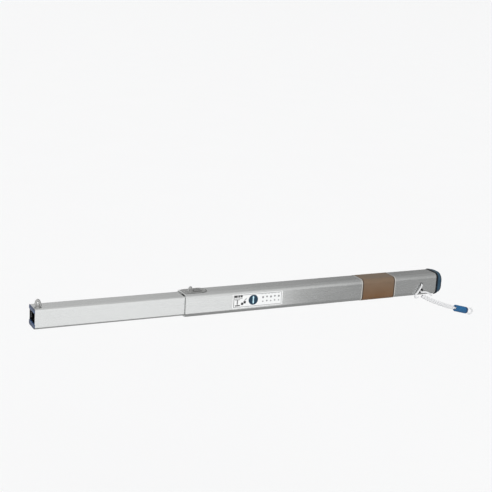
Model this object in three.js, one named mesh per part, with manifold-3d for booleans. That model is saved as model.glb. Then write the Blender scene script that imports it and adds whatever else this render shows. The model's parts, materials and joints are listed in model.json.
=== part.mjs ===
// Telescopic clothesline boom: a square outer tube that bolts to a post bracket by its butt,
// a square inner tube that slides out of it, two line eyes on top, and a tether at the butt.
// Millimetres. +X runs along the boom to the butt, +Y to the far side, +Z up.
// The origin is the centre of the butt cap's flat end face.

import * as THREE from 'three';
import { mergeVertices } from 'three/addons/utils/BufferGeometryUtils.js';
import Module from 'manifold-3d';

const wasm = await Module();
wasm.setup();

// ---- Driving dimensions ----

const GAP = 0.3;                 // clearance between pieces that touch
const SKIN = 0.05;               // clearance under thin pieces stuck to a flat face
const PAST = 1;                  // how far a cutting shape runs past what it cuts
const ROUND = 16;                // sides of a small round piece
const CORNER_STEPS = 4;          // facets in each rounded tube corner
const RING_SIDES = 8;            // facets round the wire of an eye
const RING_STEPS = 20;           // facets round the ring of an eye

const OUTER = { size: 50, wall: 2, corner: 10, length: 638 };
const INNER = { size: 42, wall: 2, corner: 4.5, length: 561.5, reach: 319.5 };

const CAP = { size: 53, corner: 11.5, thick: 16, edge: 2 };
const SPIGOT = { length: 24, gap: 0.3, wall: 4, corner: 5, screwRoom: 12 };
const BUTT_X = -CAP.thick;                          // butt end of the outer tube
const MOUTH_X = BUTT_X - OUTER.length;              // mouth of the outer tube
const TIP_X = MOUTH_X - INNER.reach;                // tip end of the inner tube
const INNER_END_X = TIP_X + INNER.length;           // hidden end of the inner tube
const OUTER_HALF = OUTER.size / 2;
const INNER_HALF = INNER.size / 2;
const OUTER_BORE = OUTER.size - 2 * OUTER.wall;
const INNER_BORE = INNER.size - 2 * INNER.wall;
const OUTER_BORE_CORNER = OUTER.corner - OUTER.wall;
const INNER_BORE_CORNER = INNER.corner - INNER.wall;

const BUSH = { length: 60, recess: 1, outerGap: 0.2, innerGap: 0.3, notchDepth: 7 };
const GLIDE = { head: 25, spigot: 35, headGap: 0.4, spigotGap: 0.3, wall: 4, boreCorner: 1.5 };

const EYE = {
  collar: 6.5, collarHeight: 1.6, collarTaper: 0.6, shank: 2.5, flare: 1.2, sink: 1.3, offset: -4,
};
const TIP_EYE = { x: TIP_X + 10, ring: 5.9, wire: 2.2 };
const MOUTH_EYE = { x: MOUTH_X + 18, ring: 4.7, wire: 1.5 };
const EYE_NUT = { acrossFlats: 8, height: 4, threadPast: 1.5 };

const PLATE = { front: 3, length: 54, width: 32, thick: 1.2, corner: 3, frontRivet: 4, backRivet: 4.3 };
const SLIDER = { front: 26, length: 17, width: 15, height: 1.7, ribs: 4, groove: 0.7, travel: 6 };
const STEM = { length: 6, width: 9 };
const PAD = { length: 12, width: 15, thick: 1.3 };

const TIP_CAP = { lip: 0.5, bar: 7, depth: 26, gap: 0.3, cheekFront: 4.5, cheek: 2, webBack: 6 };
const TIP_NECK = { inset: 3, height: 5 };
const LABEL = { left: -546, width: 121, height: 31, centreZ: 1.8, thick: 0.25 };
const BAND = { left: -222, width: 91, thick: 0.4, gap: 0.05 };

const CORD = { strand: 4, plait: 10.6, sides: 8, plaitSides: 10 };
const CORD_STEPS = { strand: 28, arc: 18, plait: 20, loop: 24 };
const CORD_HOLE = { x: -58.5, upperZ: 2.8, lowerZ: -12.4, upperR: 2.9, lowerR: 5 };
const GROMMET = { lip: 1, lipThick: 1, lipTaper: 0.5, wall: 1.2, gap: 0.1 };
const KNOT = { radius: 4.6, length: 14, y: -15.4, z: -5.1, capSteps: 4, sides: 10 };
const FERRULE = { radius: 8, length: 40, chamfer: 1.5 };
const LOOP = { reach: 23, legs: [[0, 3.2], [5, 4.2], [10, 6.2], [16, 6.6], [21, 4]] };

const INSERT = { radius: 4.5, length: 12, thread: 2.6, floor: 2, offsetY: 14 };
const HEAD_TAPER = 0.7;          // top of a fastener's head, as a share of its seat
const RIVET = { shank: 1.6, head: 3.2, height: 1.1, past: 1 };
const SCREW = { shank: 2, head: 3.8, height: 2.2, depth: 9 };
const TIP_RIVET = { x: TIP_X + 9, z: -10, depth: 4 };
const GLIDE_RIVET = { x: INNER_END_X - 18, z: 0, depth: 5 };

// ---- Finishes ----

const finish = (color, roughness, metalness) =>
  () => new THREE.MeshStandardMaterial({ color, roughness, metalness });
const aluminium = finish(0xc9ccca, 0.35, 0.9);
const steel = finish(0xb4b6b5, 0.3, 1.0);
const brass = finish(0xb08d4a, 0.35, 1.0);
const bluePlastic = finish(0x1d3f5c, 0.45, 0.0);
const brightBlue = finish(0x1565b4, 0.45, 0.0);
const greyPlastic = finish(0x8d8f8c, 0.55, 0.0);
const darkPlastic = finish(0x3c3e3d, 0.6, 0.0);
const rubber = finish(0x1c1d1d, 0.85, 0.0);
const printedFilm = finish(0xf0f1ef, 0.5, 0.0);
const brownTape = finish(0x8a6a50, 0.4, 0.0);
const rope = finish(0xe9e9e6, 0.9, 0.0);

// ---- Solid tools ----

function toSolid(geometry) {
  const bare = geometry.clone();
  bare.deleteAttribute('normal');
  bare.deleteAttribute('uv');
  const merged = mergeVertices(bare, 1e-4);
  return new wasm.Manifold(new wasm.Mesh({
    numProp: 3,
    vertProperties: new Float32Array(merged.attributes.position.array),
    triVerts: new Uint32Array(merged.index.array),
  }));
}

function toGeometry(solid) {
  const { vertProperties, triVerts } = solid.getMesh();
  const geometry = new THREE.BufferGeometry();
  geometry.setAttribute('position', new THREE.BufferAttribute(new Float32Array(vertProperties), 3));
  geometry.setIndex(new THREE.BufferAttribute(new Uint32Array(triVerts), 1));
  return geometry;
}

const joined = (first, ...others) => others.reduce((sum, next) => sum.add(next), first);
const cut = (first, ...others) => others.reduce((rest, next) => rest.subtract(next), first);

function box(x0, x1, y0, y1, z0, z1) {
  const geometry = new THREE.BoxGeometry(x1 - x0, y1 - y0, z1 - z0);
  geometry.translate((x0 + x1) / 2, (y0 + y1) / 2, (z0 + z1) / 2);
  return toSolid(geometry);
}

// A cylinder or cone along 'x', 'y' or 'z'; radiusEnd is at the high end of the axis.
function rod(axis, start, end, radius, centre, { radiusEnd = radius, sides = ROUND } = {}) {
  const geometry = new THREE.CylinderGeometry(radiusEnd, radius, end - start, sides);
  const middle = (start + end) / 2;
  if (axis === 'x') geometry.rotateZ(-Math.PI / 2).translate(middle, centre[0], centre[1]);
  if (axis === 'y') geometry.translate(centre[0], middle, centre[1]);
  if (axis === 'z') geometry.rotateX(Math.PI / 2).translate(centre[0], centre[1], middle);
  return toSolid(geometry);
}

function roundedSquare(size, corner) {
  const half = size / 2;
  const flat = half - corner;
  const shape = new THREE.Shape();
  const corners = [[flat, -flat, -0.5], [flat, flat, 0], [-flat, flat, 0.5], [-flat, -flat, 1]];
  for (const [cx, cy, turn] of corners) {
    shape.absarc(cx, cy, corner, turn * Math.PI, (turn + 0.5) * Math.PI, false);
  }
  shape.closePath();
  return shape;
}

// Extrudes an outline drawn in (Y, Z) along X from x0 to x1.
const ALONG_X = new THREE.Matrix4().makeBasis(
  new THREE.Vector3(0, 1, 0), new THREE.Vector3(0, 0, 1), new THREE.Vector3(1, 0, 0));

function prismX(shape, x0, x1) {
  const geometry = new THREE.ExtrudeGeometry(shape,
    { depth: x1 - x0, bevelEnabled: false, curveSegments: CORNER_STEPS });
  geometry.applyMatrix4(ALONG_X).translate(x0, 0, 0);
  return toSolid(geometry);
}

function squareBar(size, corner, x0, x1) {
  return prismX(roundedSquare(size, corner), x0, x1);
}

// Extrudes an outline drawn in (X, Y) up Z from z0 to z1.
function prismZ(shape, z0, z1) {
  const geometry = new THREE.ExtrudeGeometry(shape,
    { depth: z1 - z0, bevelEnabled: false, curveSegments: CORNER_STEPS * 2 });
  geometry.translate(0, 0, z0);
  return toSolid(geometry);
}

function tubeAlong(points, radius, sides, steps) {
  const outline = new THREE.Shape();
  for (let i = 0; i < sides; i += 1) {
    const angle = (2 * Math.PI * i) / sides;
    const x = radius * Math.cos(angle);
    const y = radius * Math.sin(angle);
    if (i === 0) outline.moveTo(x, y);
    else outline.lineTo(x, y);
  }
  outline.closePath();
  const route = new THREE.CatmullRomCurve3(points.map((p) => new THREE.Vector3(...p)));
  return new THREE.ExtrudeGeometry(outline, { steps, bevelEnabled: false, extrudePath: route });
}

// ---- The three bodies ----

const boom = new THREE.Group();
const outerBody = new THREE.Group();
const lockBody = new THREE.Group();
const innerBody = new THREE.Group();
boom.add(outerBody, lockBody, innerBody);

function add(body, name, shape, material) {
  const geometry = shape instanceof THREE.BufferGeometry ? shape : toGeometry(shape);
  const mesh = new THREE.Mesh(geometry, material());
  mesh.name = name;
  body.add(mesh);
}

// ---- Shared small pieces ----

// Pan-headed fastener on a face; outward is +1 or -1 along the axis.
function fastener(axis, face, outward, centre, size, depth) {
  const tip = face - outward * depth;
  const top = face + outward * size.height;
  const seat = face + outward * SKIN;
  const shank = rod(axis, Math.min(tip, seat), Math.max(tip, seat), size.shank, centre);
  const narrow = size.head * HEAD_TAPER;
  const taper = outward > 0 ? { radiusEnd: narrow } : { radiusEnd: size.head };
  const base = outward > 0 ? size.head : narrow;
  const head = rod(axis, Math.min(seat, top), Math.max(seat, top), base, centre, taper);
  return joined(shank, head);
}

function clearanceHole(axis, from, to, radius, centre) {
  return rod(axis, from - PAST, to + PAST, radius + GAP, centre);
}

// Eye bolt standing on a seat: ring open along Y, neck, round collar and a shank below the seat.
function eyeBolt({ x, ring, wire }, seatZ, shankDepth) {
  const centre = [x, EYE.offset];
  const top = seatZ + EYE.collarHeight;
  const ringZ = top + ring + wire - EYE.sink;
  const loop = new THREE.TorusGeometry(ring, wire, RING_SIDES, RING_STEPS);
  loop.rotateX(Math.PI / 2).translate(x, EYE.offset, ringZ);
  const taper = { radiusEnd: EYE.collar - EYE.collarTaper };
  const collar = rod('z', seatZ + SKIN, top, EYE.collar, centre, taper);
  const neckTop = ringZ - ring;
  const neck = rod('z', seatZ + PAST, neckTop, EYE.shank + EYE.flare, centre, { radiusEnd: EYE.shank });
  const shank = rod('z', seatZ - shankDepth, seatZ + PAST, EYE.shank, centre);
  return joined(toSolid(loop), collar, neck, shank);
}

// ---- Outer tube and what is fixed to it ----

const PLATE_X0 = MOUTH_X + PLATE.front;
const PLATE_X1 = PLATE_X0 + PLATE.length;
const PLATE_TOP = OUTER_HALF + SKIN + PLATE.thick;
const STEM_X0 = MOUTH_X + SLIDER.front + (SLIDER.length - STEM.length) / 2;
const PAD_X0 = STEM_X0 + (STEM.length - PAD.length) / 2;
const PLATE_RIVET_X = [PLATE_X0 + PLATE.frontRivet, PLATE_X1 - PLATE.backRivet];
const BUSH_RIVET_X = MOUTH_X + 30;
const CAP_SCREW_X = BUTT_X - SPIGOT.length / 2;

function makeOuterTube() {
  const wallIn = OUTER_HALF - OUTER.wall;
  const nearHole = (radius, z) => rod('y', -OUTER_HALF - PAST, -wallIn + PAST, radius, [CORD_HOLE.x, z]);
  const topHole = (radius, centre) => clearanceHole('z', wallIn, OUTER_HALF, radius, centre);
  const farHole = (radius, x) => clearanceHole('y', wallIn, OUTER_HALF, radius, [x, 0]);
  const bottomHole = (radius, x) => clearanceHole('z', -OUTER_HALF, -wallIn, radius, [x, 0]);
  const padSlot = box(PAD_X0 - GAP, PAD_X0 + PAD.length + SLIDER.travel + GAP,
    -PAD.width / 2 - GAP, PAD.width / 2 + GAP, wallIn - PAST, OUTER_HALF + PAST);
  return cut(
    squareBar(OUTER.size, OUTER.corner, MOUTH_X, BUTT_X),
    squareBar(OUTER_BORE, OUTER_BORE_CORNER, MOUTH_X - PAST, BUTT_X + PAST),
    padSlot,
    nearHole(CORD_HOLE.upperR, CORD_HOLE.upperZ),
    nearHole(CORD_HOLE.lowerR, CORD_HOLE.lowerZ),
    topHole(EYE.shank, [MOUTH_EYE.x, EYE.offset]),
    ...PLATE_RIVET_X.map((x) => topHole(RIVET.shank, [x, 0])),
    farHole(RIVET.shank, BUSH_RIVET_X),
    bottomHole(RIVET.shank, BUSH_RIVET_X),
    farHole(SCREW.shank, CAP_SCREW_X),
    bottomHole(SCREW.shank, CAP_SCREW_X));
}

function makeMouthBush() {
  const x0 = MOUTH_X + BUSH.recess;
  const x1 = x0 + BUSH.length;
  const outerSize = OUTER_BORE - 2 * BUSH.outerGap;
  const innerSize = INNER.size + 2 * BUSH.innerGap;
  const low = innerSize / 2;
  const top = outerSize / 2;
  const topHole = (radius, centre) => clearanceHole('z', low, top, radius, centre);
  const notch = box(x0 - PAST, x0 + BUSH.notchDepth, PAST - INNER_HALF, PAST, low - PAST, top + PAST);
  const padRoom = box(PAD_X0 - PAST, PAD_X0 + PAD.length + SLIDER.travel + PAST,
    -PAD.width / 2 - PAST, PAD.width / 2 + PAST, low - PAST, top + PAST);
  return cut(
    squareBar(outerSize, OUTER_BORE_CORNER - BUSH.outerGap, x0, x1),
    squareBar(innerSize, INNER.corner + BUSH.innerGap, x0 - PAST, x1 + PAST),
    notch,
    padRoom,
    topHole(EYE.shank, [MOUTH_EYE.x, EYE.offset]),
    ...PLATE_RIVET_X.map((x) => topHole(RIVET.shank, [x, 0])),
    clearanceHole('y', low, top, RIVET.shank, [BUSH_RIVET_X, 0]),
    clearanceHole('z', -top, -low, RIVET.shank, [BUSH_RIVET_X, 0]));
}

function makeLockPlate() {
  const half = PLATE.width / 2;
  const roundX = PLATE_X1 - half;
  const cornerX = PLATE_X0 + PLATE.corner;
  const cornerY = half - PLATE.corner;
  const outline = new THREE.Shape();
  outline.moveTo(roundX, -half);
  outline.absarc(roundX, 0, half, -Math.PI / 2, Math.PI / 2, false);
  outline.absarc(cornerX, cornerY, PLATE.corner, Math.PI / 2, Math.PI, false);
  outline.absarc(cornerX, -cornerY, PLATE.corner, Math.PI, 1.5 * Math.PI, false);
  outline.closePath();
  const z0 = OUTER_HALF + SKIN;
  const hole = (radius, centre) => clearanceHole('z', z0, PLATE_TOP, radius, centre);
  const stemSlot = box(STEM_X0 - GAP, STEM_X0 + STEM.length + SLIDER.travel + GAP,
    -STEM.width / 2 - GAP, STEM.width / 2 + GAP, z0 - PAST, PLATE_TOP + PAST);
  return cut(
    prismZ(outline, z0, PLATE_TOP),
    stemSlot,
    hole(EYE.collar, [MOUTH_EYE.x, EYE.offset]),
    ...PLATE_RIVET_X.map((x) => hole(RIVET.shank, [x, 0])));
}

function makeButtCap() {
  const half = CAP.size / 2;
  const rimShape = roundedSquare(CAP.size - 2 * CAP.edge, CAP.corner - CAP.edge);
  const rim = new THREE.ExtrudeGeometry(rimShape, {
    depth: CAP.thick - 2 * CAP.edge,
    bevelEnabled: true,
    bevelThickness: CAP.edge,
    bevelSize: CAP.edge,
    bevelSegments: 2,
    curveSegments: CORNER_STEPS,
  });
  rim.applyMatrix4(ALONG_X).translate(BUTT_X + CAP.edge, 0, 0);
  const size = OUTER_BORE - 2 * SPIGOT.gap;
  const corner = OUTER_BORE_CORNER - SPIGOT.gap;
  const x0 = BUTT_X - SPIGOT.length;
  const spigot = squareBar(size, corner, x0, BUTT_X + CAP.edge + PAST);
  const hollow = squareBar(size - 2 * SPIGOT.wall, SPIGOT.corner, x0 - PAST, BUTT_X - SPIGOT.wall);
  const seatGroove = cut(
    box(BUTT_X - PAST, BUTT_X + SKIN, -half, half, -half, half),
    squareBar(size, corner, BUTT_X - 2 * PAST, BUTT_X + 2 * PAST));
  const inserts = [-1, 1].map((side) =>
    rod('x', -INSERT.length - GAP, PAST, INSERT.radius + GAP, [side * INSERT.offsetY, 0]));
  return cut(
    joined(toSolid(rim), spigot),
    hollow,
    seatGroove,
    ...inserts,
    clearanceHole('y', half - SPIGOT.screwRoom, half, SCREW.shank, [CAP_SCREW_X, 0]),
    clearanceHole('z', -half, SPIGOT.screwRoom - half, SCREW.shank, [CAP_SCREW_X, 0]));
}

function makeInsert(side) {
  const centre = [side * INSERT.offsetY, 0];
  return cut(
    rod('x', -INSERT.length, -SKIN, INSERT.radius, centre),
    rod('x', -INSERT.length + INSERT.floor, PAST, INSERT.thread, centre));
}

function makeGrommet(holeRadius, z, bore) {
  const centre = [CORD_HOLE.x, z];
  const face = -OUTER_HALF - SKIN;
  const front = face - GROMMET.lipThick;
  const back = -OUTER_HALF + OUTER.wall + SKIN + GROMMET.lipThick;
  const lip = holeRadius + GROMMET.lip;
  return cut(
    joined(
      rod('y', front, back, holeRadius - GROMMET.gap, centre),
      rod('y', front, face, lip - GROMMET.lipTaper, centre, { radiusEnd: lip })),
    rod('y', front - PAST, back + PAST, bore, centre));
}

function makeBand() {
  const inner = OUTER.size + 2 * BAND.gap;
  const outer = inner + 2 * BAND.thick;
  const end = BAND.left + BAND.width;
  return cut(
    squareBar(outer, OUTER.corner + BAND.gap + BAND.thick, BAND.left, end),
    squareBar(inner, OUTER.corner + BAND.gap, BAND.left - PAST, end + PAST));
}

function makeLabel() {
  const face = -OUTER_HALF - SKIN;
  return box(LABEL.left, LABEL.left + LABEL.width, face - LABEL.thick, face,
    LABEL.centreZ - LABEL.height / 2, LABEL.centreZ + LABEL.height / 2);
}

function addOuterFasteners() {
  PLATE_RIVET_X.forEach((x, i) => {
    const depth = PLATE.thick + OUTER.wall + RIVET.past;
    add(outerBody, `plate_rivet_${i + 1}`, fastener('z', PLATE_TOP, 1, [x, 0], RIVET, depth), steel);
  });
  const bushDepth = OUTER.wall + BUSH.outerGap + RIVET.past;
  const fixings = [
    ['bush_rivet', RIVET, BUSH_RIVET_X, bushDepth],
    ['cap_screw', SCREW, CAP_SCREW_X, SCREW.depth],
  ];
  for (const [name, size, x, depth] of fixings) {
    add(outerBody, `${name}_far`, fastener('y', OUTER_HALF, 1, [x, 0], size, depth), steel);
    add(outerBody, `${name}_bottom`, fastener('z', -OUTER_HALF, -1, [x, 0], size, depth), steel);
  }
}

function addOuterPieces() {
  const upperBore = CORD.strand / 2 + GAP;
  const lowerBore = CORD_HOLE.lowerR - GROMMET.wall;
  add(outerBody, 'outer_tube', makeOuterTube(), aluminium);
  add(outerBody, 'mouth_bush', makeMouthBush(), greyPlastic);
  add(outerBody, 'lock_plate', makeLockPlate(), steel);
  add(outerBody, 'mouth_eye', eyeBolt(MOUTH_EYE, OUTER_HALF, OUTER.wall + PAST), steel);
  add(outerBody, 'butt_cap', makeButtCap(), bluePlastic);
  add(outerBody, 'butt_insert_near', makeInsert(-1), brass);
  add(outerBody, 'butt_insert_far', makeInsert(1), brass);
  add(outerBody, 'cord_grommet_upper', makeGrommet(CORD_HOLE.upperR, CORD_HOLE.upperZ, upperBore), rubber);
  add(outerBody, 'cord_grommet_lower', makeGrommet(CORD_HOLE.lowerR, CORD_HOLE.lowerZ, lowerBore), rubber);
  add(outerBody, 'label', makeLabel(), printedFilm);
  add(outerBody, 'colour_band', makeBand(), brownTape);
}

// ---- Tether at the butt ----

// Thin strand: out of the upper hole, down the near side and round under the lower corner.
const STRAND_ROUTE = [
  [-58.5, -20.5, 2.8], [-58.5, -25, 2.8], [-59, -28, 2.2], [-61, -29.6, -1], [-64, -29.6, -6.5],
  [-68, -29.4, -12.5], [-71.5, -28.8, -17.5], [-73.8, -27.4, -22], [-73.4, -25.8, -26],
  [-70.6, -25.4, -28.6], [-66.6, -26.6, -28.4], [-63.4, -28, -26.6],
];

// Smooth strand: out of the lower hole, over in a low arc and along the top of the plait.
const ARC_ROUTE = [
  [-58.5, -20.5, -13], [-58.8, -25, -13.4], [-59.4, -29, -14.4], [-57, -32.2, -14.4],
  [-52.5, -33.6, -14], [-47, -33.8, -15.2], [-41.5, -33.6, -17.6], [-36, -33.1, -20.8],
  [-31, -32.4, -24],
];

// Plaited lanyard: from the two strands down past the butt to the ferrule.
const PLAIT_ROUTE = [
  [-58, -31.6, -24.2], [-50, -31.4, -27.4], [-42, -31, -31.2], [-34, -30.4, -35],
  [-26, -29.6, -38.6], [-18, -28.8, -42], [-10, -27.8, -45.2], [-2, -26.8, -48.4],
  [6, -25.8, -51.4], [14, -24.8, -54.3], [22, -23.6, -57.1], [30, -22.4, -59.8],
  [38, -21, -62.4], [46, -19.6, -64.9], [52, -18.5, -66.8],
];

const FERRULE_AXIS = new THREE.Vector3(0.948, 0.16, -0.276).normalize();

function pastPlait(distance) {
  return new THREE.Vector3(...PLAIT_ROUTE.at(-1)).addScaledVector(FERRULE_AXIS, distance);
}

function makeFerrule() {
  const { radius, length, chamfer } = FERRULE;
  const narrow = radius - chamfer;
  const profile = [
    [0, 0], [narrow, 0], [radius, chamfer], [radius, length - chamfer], [narrow, length], [0, length],
  ];
  const body = new THREE.LatheGeometry(profile.map((point) => new THREE.Vector2(...point)), ROUND);
  body.applyQuaternion(new THREE.Quaternion().setFromUnitVectors(new THREE.Vector3(0, 1, 0), FERRULE_AXIS));
  const start = pastPlait(GAP);
  body.translate(start.x, start.y, start.z);
  return toSolid(body);
}

// Soft eye beyond the ferrule: two legs that meet in a round bend.
function makeEndLoop() {
  const start = FERRULE.length + 4 * GAP;
  const side = new THREE.Vector3(0, 0, 1).cross(FERRULE_AXIS).normalize();
  const lift = FERRULE_AXIS.clone().cross(side);
  const leg = (sign) => LOOP.legs.map(([along, out]) =>
    pastPlait(start + along).addScaledVector(lift, sign * out));
  const points = [...leg(1), pastPlait(start + LOOP.reach), ...leg(-1).reverse()];
  return tubeAlong(points.map((p) => p.toArray()), CORD.strand / 2, CORD.sides, CORD_STEPS.loop);
}

// Stopper knot inside the tube that joins the two strands behind their holes.
function makeStopperKnot() {
  const knot = new THREE.CapsuleGeometry(KNOT.radius, KNOT.length, KNOT.capSteps, KNOT.sides);
  knot.rotateX(Math.PI / 2).translate(CORD_HOLE.x, KNOT.y, KNOT.z);
  return toSolid(knot);
}

function addTether() {
  const strand = CORD.strand / 2;
  add(outerBody, 'tether_strand', tubeAlong(STRAND_ROUTE, strand, CORD.sides, CORD_STEPS.strand), rope);
  add(outerBody, 'tether_arc', tubeAlong(ARC_ROUTE, strand, CORD.sides, CORD_STEPS.arc), rope);
  add(outerBody, 'tether_plait',
    tubeAlong(PLAIT_ROUTE, CORD.plait / 2, CORD.plaitSides, CORD_STEPS.plait), rope);
  add(outerBody, 'tether_ferrule', makeFerrule(), brightBlue);
  add(outerBody, 'tether_end_loop', makeEndLoop(), rope);
  add(outerBody, 'tether_stopper_knot', makeStopperKnot(), rope);
}

// ---- Slide lock on the mouth ----

const PAD_Z0 = INNER_HALF + GAP;
const PAD_Z1 = PAD_Z0 + PAD.thick;

function makeLockSlider() {
  const x0 = MOUTH_X + SLIDER.front;
  const z0 = PLATE_TOP + SKIN;
  const half = SLIDER.width / 2;
  const top = z0 + SLIDER.height;
  const pitch = SLIDER.length / (SLIDER.ribs + 1);
  const groove = pitch / 5;
  const grooves = Array.from({ length: SLIDER.ribs }, (_, i) => {
    const x = x0 + pitch * (i + 1);
    return box(x - groove, x + groove, -half - PAST, half + PAST, top - SLIDER.groove, top + PAST);
  });
  const button = cut(box(x0, x0 + SLIDER.length, -half, half, z0, top), ...grooves);
  const stem = box(STEM_X0, STEM_X0 + STEM.length, -STEM.width / 2, STEM.width / 2,
    PAD_Z1 + SKIN, z0 + SLIDER.groove);
  return joined(button, stem);
}

function addLockPieces() {
  const half = PAD.width / 2;
  add(lockBody, 'lock_slider', makeLockSlider(), darkPlastic);
  add(lockBody, 'brake_pad', box(PAD_X0, PAD_X0 + PAD.length, -half, half, PAD_Z0, PAD_Z1), rubber);
}

// ---- Inner tube and what is fixed to it ----

function makeInnerTube() {
  const wallIn = INNER_HALF - INNER.wall;
  const sideHoles = [TIP_RIVET, GLIDE_RIVET].flatMap(({ x, z }) => [
    clearanceHole('y', wallIn, INNER_HALF, RIVET.shank, [x, z]),
    clearanceHole('y', -INNER_HALF, -wallIn, RIVET.shank, [x, z]),
  ]);
  return cut(
    squareBar(INNER.size, INNER.corner, TIP_X, INNER_END_X),
    squareBar(INNER_BORE, INNER_BORE_CORNER, TIP_X - PAST, INNER_END_X + PAST),
    ...sideHoles,
    clearanceHole('z', wallIn, INNER_HALF, EYE.shank, [TIP_EYE.x, EYE.offset]));
}

// Blue end moulding: a bar across the top and one across the bottom, joined by cheeks and a web.
function makeTipCap() {
  const bore = INNER_BORE - 2 * TIP_CAP.gap;
  const half = bore / 2;
  const barEdge = half - TIP_CAP.bar;
  const front = TIP_X - TIP_CAP.lip;
  const back = TIP_X + TIP_CAP.depth;
  const cheekIn = half - TIP_CAP.cheek;
  const plug = squareBar(bore, INNER_BORE_CORNER - TIP_CAP.gap, TIP_X, back);
  const window = box(front - PAST, back - TIP_CAP.webBack, -cheekIn, cheekIn, -barEdge, barEdge);
  const mouth = box(front - PAST, TIP_X + TIP_CAP.cheekFront, -INNER_HALF - PAST, INNER_HALF + PAST,
    -barEdge, barEdge);
  const lip = squareBar(INNER.size, INNER.corner, front, TIP_X - SKIN);
  const necks = [-1, 1].map((side) => {
    const z = side * (half - TIP_CAP.bar / 2);
    const y = half - TIP_NECK.inset;
    return box(front + SKIN, TIP_X + PAST, -y, y, z - TIP_NECK.height / 2, z + TIP_NECK.height / 2);
  });
  return cut(
    joined(plug, lip, ...necks),
    window,
    mouth,
    clearanceHole('z', 0, half, EYE.shank, [TIP_EYE.x, EYE.offset]),
    clearanceHole('y', -half, half, RIVET.shank, [TIP_RIVET.x, TIP_RIVET.z]));
}

function makeEyeNut() {
  const top = INNER_HALF - INNER.wall - TIP_CAP.gap - TIP_CAP.bar - SKIN;
  const bottom = top - EYE_NUT.height;
  const centre = [TIP_EYE.x, EYE.offset];
  const radius = EYE_NUT.acrossFlats / Math.sqrt(3);
  return cut(
    rod('z', bottom, top, radius, centre, { sides: 6 }),
    rod('z', bottom - PAST, top + PAST, EYE.shank + SKIN, centre));
}

function makeRearGlide() {
  const headSize = OUTER_BORE - 2 * GLIDE.headGap;
  const spigotSize = INNER_BORE - 2 * GLIDE.spigotGap;
  const x0 = INNER_END_X - GLIDE.spigot;
  const x1 = INNER_END_X + GLIDE.head;
  return cut(
    joined(
      squareBar(headSize, OUTER_BORE_CORNER - GLIDE.headGap, INNER_END_X + SKIN, x1),
      squareBar(spigotSize, INNER_BORE_CORNER - GLIDE.spigotGap, x0, INNER_END_X + PAST)),
    squareBar(spigotSize - 2 * GLIDE.wall, GLIDE.boreCorner, x0 - PAST, x1 + PAST),
    clearanceHole('y', -INNER_HALF, INNER_HALF, RIVET.shank, [GLIDE_RIVET.x, GLIDE_RIVET.z]));
}

// Flush rivet through one side wall of the inner tube into the piece behind it.
function flushRivet({ x, z, depth }, side) {
  const face = side * (INNER_HALF - SKIN);
  const end = side * (INNER_HALF - depth);
  return rod('y', Math.min(face, end), Math.max(face, end), RIVET.shank, [x, z]);
}

function addInnerPieces() {
  const shankDepth = INNER.wall + TIP_CAP.bar + EYE_NUT.height + EYE_NUT.threadPast;
  add(innerBody, 'inner_tube', makeInnerTube(), aluminium);
  add(innerBody, 'tip_cap', makeTipCap(), bluePlastic);
  add(innerBody, 'tip_eye', eyeBolt(TIP_EYE, INNER_HALF, shankDepth), steel);
  add(innerBody, 'tip_eye_nut', makeEyeNut(), steel);
  add(innerBody, 'rear_glide', makeRearGlide(), greyPlastic);
  for (const [name, rivet] of [['tip_rivet', TIP_RIVET], ['glide_rivet', GLIDE_RIVET]]) {
    add(innerBody, `${name}_near`, flushRivet(rivet, -1), steel);
    add(innerBody, `${name}_far`, flushRivet(rivet, 1), steel);
  }
}

addOuterPieces();
addOuterFasteners();
addTether();
addLockPieces();
addInnerPieces();

export default boom;
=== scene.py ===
"""The looks of a telescopic clothesline boom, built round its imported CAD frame.

Metres, in the CAD frame: +X runs along the boom to the butt, +Y to the far side, +Z up.
Every CAD node is stood for by a finer piece that rides on the same body.
"""

import json
import math

import bmesh
import bpy
from mathutils import Matrix, Vector

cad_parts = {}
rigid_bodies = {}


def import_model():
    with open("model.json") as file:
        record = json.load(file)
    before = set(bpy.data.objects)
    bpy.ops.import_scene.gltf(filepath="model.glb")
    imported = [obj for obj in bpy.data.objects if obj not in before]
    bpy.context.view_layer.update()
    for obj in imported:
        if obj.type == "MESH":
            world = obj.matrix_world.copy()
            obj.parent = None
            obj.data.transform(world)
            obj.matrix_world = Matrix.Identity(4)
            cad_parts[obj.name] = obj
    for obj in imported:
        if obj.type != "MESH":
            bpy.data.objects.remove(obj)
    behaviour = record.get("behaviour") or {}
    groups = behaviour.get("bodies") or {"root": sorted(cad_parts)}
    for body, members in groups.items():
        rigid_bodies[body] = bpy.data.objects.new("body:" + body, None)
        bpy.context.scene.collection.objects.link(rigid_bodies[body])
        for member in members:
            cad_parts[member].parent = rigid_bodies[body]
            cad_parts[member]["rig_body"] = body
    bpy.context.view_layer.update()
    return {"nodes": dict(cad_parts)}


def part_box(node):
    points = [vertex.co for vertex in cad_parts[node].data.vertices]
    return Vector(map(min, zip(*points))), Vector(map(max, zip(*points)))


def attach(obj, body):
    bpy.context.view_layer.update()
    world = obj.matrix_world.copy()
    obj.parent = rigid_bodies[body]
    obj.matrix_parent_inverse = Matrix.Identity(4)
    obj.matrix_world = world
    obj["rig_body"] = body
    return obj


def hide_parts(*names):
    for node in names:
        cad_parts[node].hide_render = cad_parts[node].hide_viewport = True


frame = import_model()
NODES = frame["nodes"]
MM = 0.001

# ---- Sizes taken from the frame ----

OUTER_LOW, OUTER_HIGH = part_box("outer_tube")
INNER_LOW, INNER_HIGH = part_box("inner_tube")
PLATE_LOW, PLATE_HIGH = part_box("lock_plate")
CAP_LOW, CAP_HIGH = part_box("butt_cap")
BUSH_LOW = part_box("mouth_bush")[0]
LABEL_LOW, LABEL_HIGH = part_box("label")
BAND_LOW, BAND_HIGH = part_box("colour_band")
MOUTH_X, BUTT_X = OUTER_LOW.x, OUTER_HIGH.x
OUTER_HALF, INNER_HALF = OUTER_HIGH.z, INNER_HIGH.z

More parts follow.
